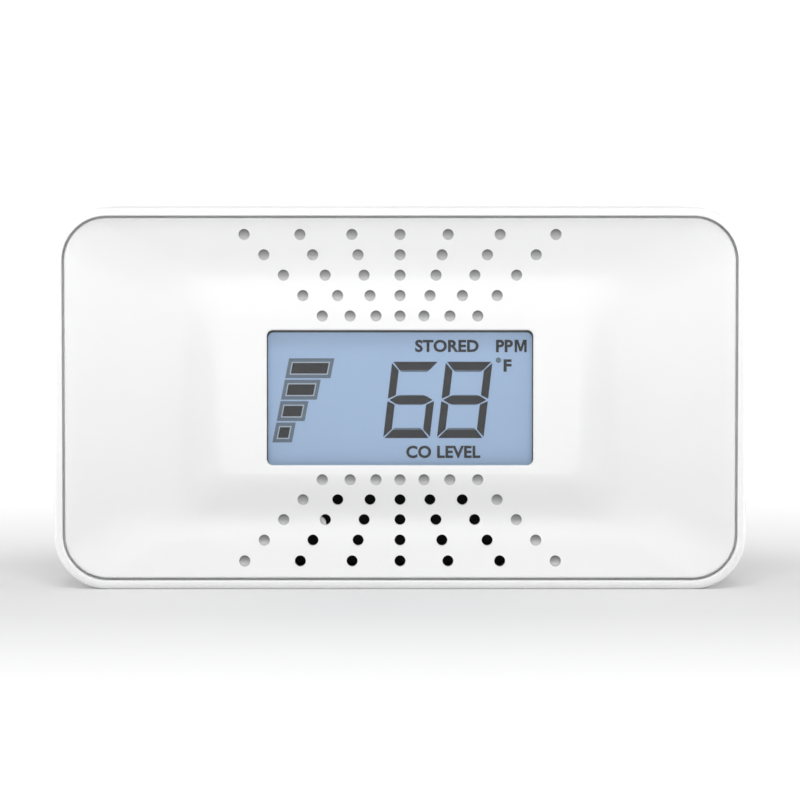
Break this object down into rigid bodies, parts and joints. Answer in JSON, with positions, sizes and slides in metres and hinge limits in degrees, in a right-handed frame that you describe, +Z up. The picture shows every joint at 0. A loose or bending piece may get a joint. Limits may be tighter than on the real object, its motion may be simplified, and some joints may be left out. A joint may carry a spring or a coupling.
{
  "type": "carbon monoxide detector",
  "caption": "Shelf or wall carbon monoxide detector: rounded white case, dished face with a central display, sound holes, top test button and keyholes behind.",
  "frame": {"origin": "on the surface that the detector stands on, under the middle of its body", "axes": "+X to the right seen from the front, +Y from the display side to the back, +Z up"},
  "size_m": [0.155, 0.038, 0.0855],
  "materials": {
    "case_white": "glossy moulded white plastic",
    "panel_white": "glossy moulded white plastic",
    "screw_steel": "zinc plated steel",
    "label_silver": "silver foil label, blank",
    "window_clear": "clear plastic window",
    "carrier_white": "white plastic",
    "film_grey": "polarising film",
    "display_glass": "display glass",
    "guide_clear": "clear acrylic light guide",
    "led_ivory": "side-lighting diode",
    "connector_pink": "layered contact rubber",
    "board_green": "green solder resist over glass fibre",
    "chip_black": "black moulded package",
    "chip_ceramic": "ceramic chip parts",
    "capacitor_sleeve": "shrunk sleeve",
    "coil_copper": "lacquered copper winding",
    "plated_metal": "nickel plated metal",
    "black_plastic": "black plastic",
    "foam_black": "closed-cell foam",
    "brass": "brass",
    "piezo_white": "silvered piezo ceramic",
    "cell_wrap": "printed-free shrink wrap",
    "slider_red": "red plastic"
  },
  "bodies": {
    "detector": {"housing": "case_white", "front_panel": "panel_white", "rear_cover": "case_white", "housing_screws": "screw_steel", "rating_label": "label_silver", "display_window": "window_clear", "lcd_frame": "carrier_white", "lcd_front_polarizer": "film_grey", "lcd_front_glass": "display_glass", "lcd_rear_glass": "display_glass", "lcd_rear_polarizer": "film_grey", "light_guide": "guide_clear", "light_reflector": "carrier_white", "backlight_leds": "led_ivory", "zebra_strip": "connector_pink", "main_board": "board_green", "microcontroller": "chip_black", "chip_components": "chip_ceramic", "capacitors": "capacitor_sleeve", "booster_coil": "coil_copper", "crystal": "plated_metal", "thermistor": "chip_black", "board_screws": "screw_steel", "sounder_horn": "black_plastic", "horn_gasket": "foam_black", "piezo_disc": "brass", "piezo_ceramic": "piezo_white", "sounder_cap": "black_plastic", "sounder_contacts": "brass", "sensor_can": "plated_metal", "sensor_filter_cap": "black_plastic", "sensor_pins": "brass", "sensor_gasket": "foam_black", "battery_cell_left": "cell_wrap", "battery_cell_right": "cell_wrap", "battery_tabs": "plated_metal", "battery_pads": "foam_black", "test_switch_body": "chip_black", "activation_switch_body": "plated_metal"},
    "test_button": {"test_button": "panel_white", "test_switch_plunger": "black_plastic"},
    "activation_slider": {"activation_slider": "slider_red", "activation_switch_lever": "black_plastic"}
  },
  "joints": [
    {"name": "press_test_button", "type": "slide", "parent": "detector", "child": "test_button", "axis": [0, 0, -1], "range_m": [0, 0.0007], "stiffness_N_per_m": 1500, "springref_m": -0.0003},
    {"name": "slide_activation", "type": "slide", "parent": "detector", "child": "activation_slider", "axis": [1, 0, 0], "range_m": [0, 0.004]}
  ]
}
